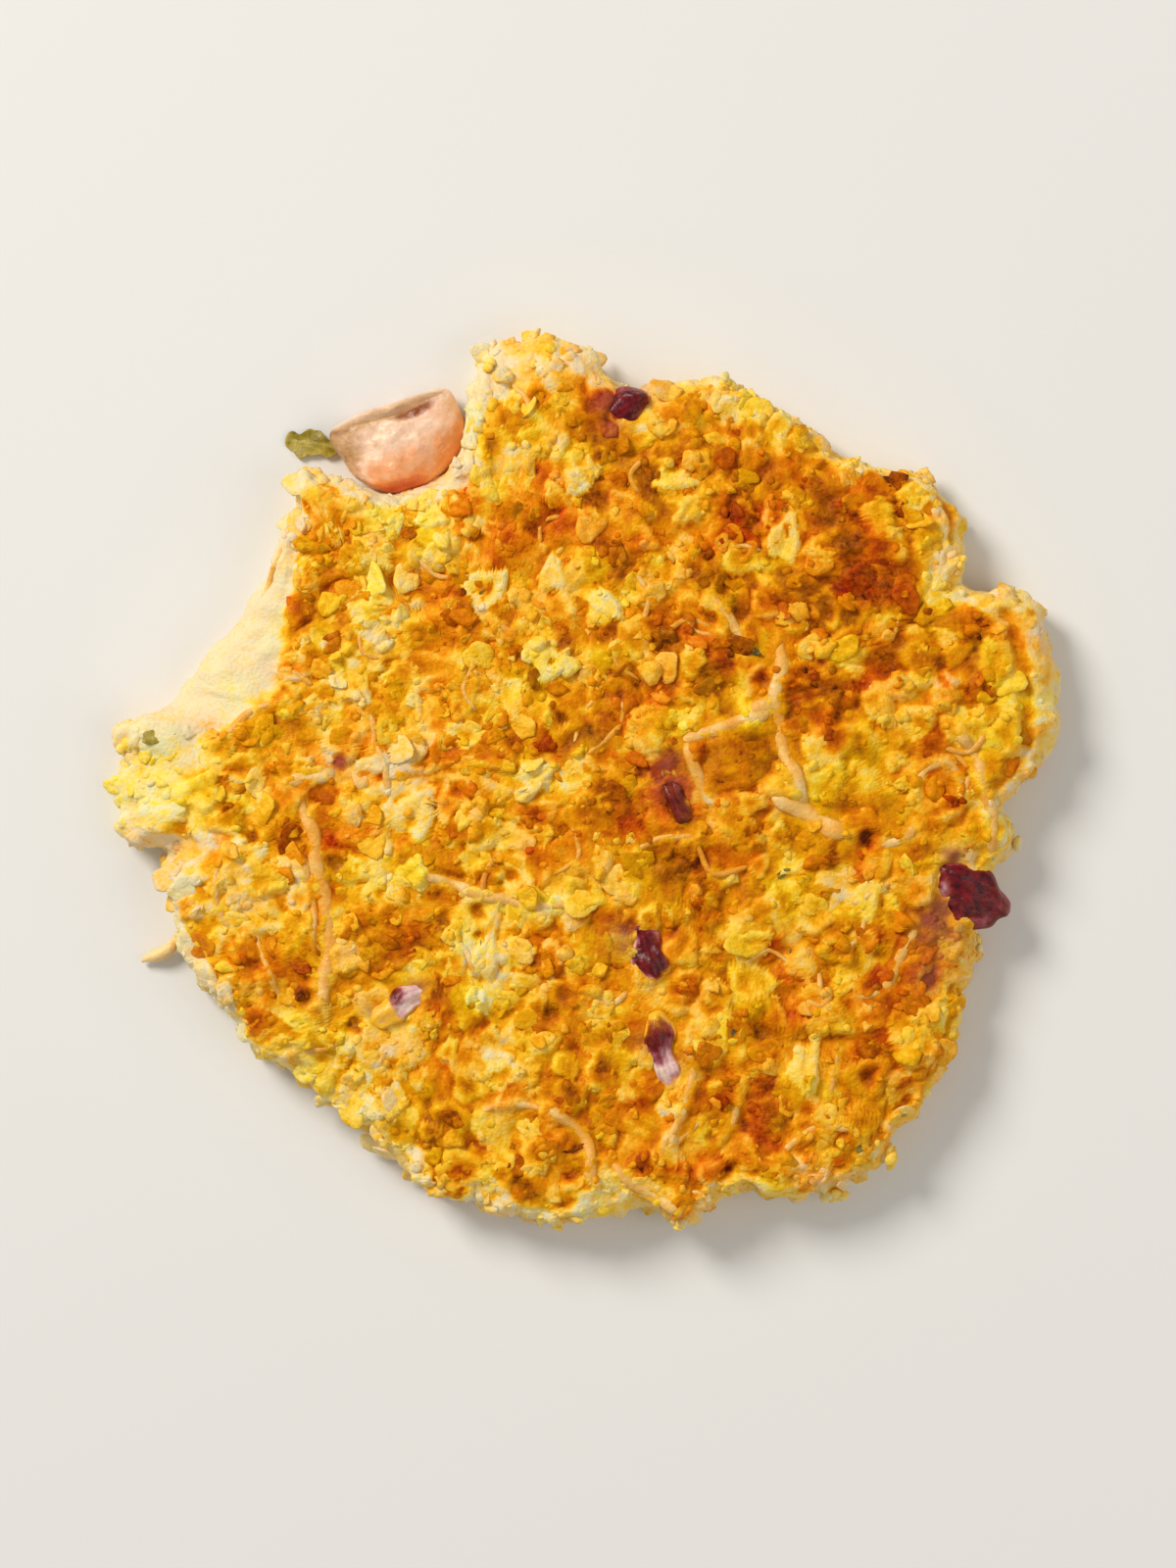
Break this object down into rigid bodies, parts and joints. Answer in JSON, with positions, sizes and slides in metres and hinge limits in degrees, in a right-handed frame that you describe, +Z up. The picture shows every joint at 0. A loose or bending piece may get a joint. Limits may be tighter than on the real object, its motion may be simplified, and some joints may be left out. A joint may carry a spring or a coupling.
{
  "type": "oat pancake",
  "caption": "Round, thick pan-fried oat pancake with a crumbly browned face, an uneven edge, a tomato piece in a notch, bits of red onion and a small herb leaf.",
  "frame": {"origin": "middle of the flat underside, on the surface that the pancake lies on", "axes": "+Z up through the thickness towards the browned face, +X along the longest side, +Y towards the top edge of the picture"},
  "size_m": [0.1296, 0.122, 0.0126],
  "materials": {
    "batter": "fried oat batter, golden-orange, lightly oiled",
    "onion": "red onion, moist",
    "tomato": "cooked tomato, wet",
    "herb": "chopped herb leaf, wilted"
  },
  "bodies": {
    "root": {"oat_pancake": "batter", "tomato_piece": "tomato", "herb_leaf": "herb", "red_onion_right": "onion", "red_onion_top": "onion", "red_onion_upper": "onion", "red_onion_lower": "onion", "red_onion_left": "onion", "red_onion_middle": "onion"}
  },
  "joints": []
}
